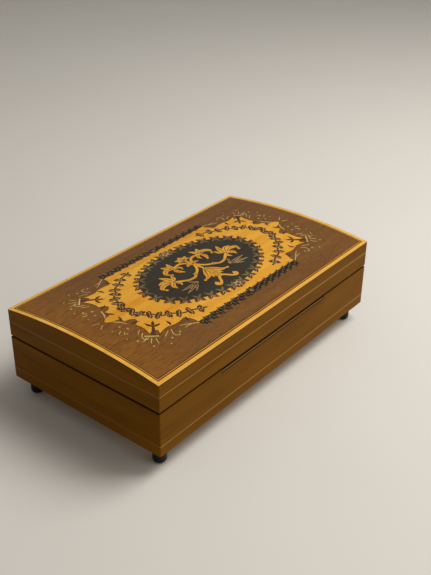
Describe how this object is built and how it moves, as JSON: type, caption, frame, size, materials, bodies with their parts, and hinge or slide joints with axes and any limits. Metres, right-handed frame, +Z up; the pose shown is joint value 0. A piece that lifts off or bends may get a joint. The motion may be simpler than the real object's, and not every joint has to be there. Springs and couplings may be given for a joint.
{
  "type": "wind up music box",
  "caption": "Rectangular inlaid wooden music jewellery box with a gently arched hinged lid, round black feet, and a key wound pinned-cylinder movement beside a lined compartment.",
  "frame": {"origin": "on the floor under the middle of the box, between the feet", "axes": "+X along the front to the right, -Y to the front with the finger recess, +Z up; hinges at the back"},
  "size_m": [0.25, 0.1421, 0.0757],
  "materials": {
    "case_wood": "brown stained hardwood under clear gloss lacquer",
    "mahogany": "mahogany veneer under clear gloss lacquer",
    "maple": "golden maple and boxwood under clear gloss lacquer",
    "ebonised_wood": "ebonised veneer under clear gloss lacquer",
    "black_lacquer": "black gloss lacquer",
    "plain_wood": "plain sanded wood",
    "brass": "bright brass",
    "steel": "bright steel",
    "fan_foil": "thin bright foil",
    "velvet": "dark red velvet",
    "clear_cover": "clear sheet with polished edges",
    "nylon": "natural nylon"
  },
  "bodies": {
    "case": {"front_wall": "case_wood", "back_wall": "case_wood", "left_wall": "case_wood", "right_wall": "case_wood", "case_stringing": "maple", "base_board": "plain_wood", "feet": "black_lacquer", "foot_screws": "steel", "hinge_lower_leaves": "brass", "hinge_pins": "brass", "hinge_case_screws": "brass", "partition": "plain_wood", "cover_ledges": "plain_wood", "movement_cover": "clear_cover", "cover_screws": "brass", "plunger_bush": "nylon", "floor_lining": "velvet", "wall_lining": "velvet", "bedplate": "brass", "bedplate_screws": "steel", "comb": "steel", "comb_screws": "steel", "bearing_bracket": "brass", "governor_plate_outer": "brass", "governor_plate_inner": "brass", "governor_cock": "brass", "key_escutcheon": "brass", "clutch_spring": "steel", "stop_spring": "steel"},
    "lid": {"lid_front_rail": "case_wood", "lid_back_rail": "case_wood", "lid_left_end": "case_wood", "lid_right_end": "case_wood", "lid_panel": "plain_wood", "lid_veneer": "mahogany", "lid_cartouche": "maple", "lid_medallion": "ebonised_wood", "lid_banding": "maple", "lid_dark_line": "ebonised_wood", "lid_light_line": "maple", "lid_stringing": "maple", "lid_lining": "velvet", "hinge_upper_leaves": "brass", "hinge_lid_screws": "brass"},
    "key": {"winding_key": "brass", "winding_arbor": "steel"},
    "barrel": {"spring_barrel": "brass", "barrel_cap": "brass", "mainspring": "steel"},
    "cylinder": {"cylinder_drum": "brass", "cylinder_pins": "steel", "cylinder_arbor": "steel", "cylinder_pinion": "brass", "great_wheel": "brass"},
    "second_arbor": {"second_wheel": "brass"},
    "third_arbor": {"third_wheel": "brass"},
    "worm_spindle": {"worm": "steel", "governor_fan": "fan_foil"},
    "plunger": {"stop_plunger": "steel"}
  },
  "joints": [
    {"name": "lid_hinge", "type": "hinge", "parent": "case", "child": "lid", "pos_m": [0, 0.0704, 0.04885], "axis": [-1, 0, 0], "range_deg": [0, 95]},
    {"name": "key_turn", "type": "hinge", "parent": "case", "child": "key", "pos_m": [0.073, 0, 0.01], "axis": [0, 0, 1], "continuous": true},
    {"name": "cylinder_spin", "type": "hinge", "parent": "case", "child": "cylinder", "pos_m": [0.073, 0, 0.0355], "axis": [1, 0, 0], "continuous": true},
    {"name": "barrel_spin", "type": "hinge", "parent": "case", "child": "barrel", "pos_m": [0.073, 0, 0.025], "axis": [0, 0, 1], "continuous": true},
    {"name": "second_spin", "type": "hinge", "parent": "case", "child": "second_arbor", "pos_m": [0.073, 0.00873, 0.03046], "axis": [1, 0, 0], "continuous": true},
    {"name": "third_spin", "type": "hinge", "parent": "case", "child": "third_arbor", "pos_m": [0.073, 0.01492, 0.03565], "axis": [1, 0, 0], "continuous": true},
    {"name": "worm_spin", "type": "hinge", "parent": "case", "child": "worm_spindle", "pos_m": [0.1073, 0.02028, 0.03], "axis": [0, 0, 1], "continuous": true},
    {"name": "plunger_slide", "type": "slide", "parent": "case", "child": "plunger", "axis": [0, 0, 1], "range_m": [0, 0.0035], "deforming": ["stop_spring"]}
  ],
  "couplings": [
    {"joint": "barrel_spin", "follows": "cylinder_spin", "ratio": 0.33333},
    {"joint": "second_spin", "follows": "cylinder_spin", "ratio": -4},
    {"joint": "third_spin", "follows": "cylinder_spin", "ratio": 12},
    {"joint": "worm_spin", "follows": "cylinder_spin", "ratio": -192},
    {"joint": "plunger_slide", "follows": "lid_hinge", "m_per_rad": 0.00211}
  ]
}
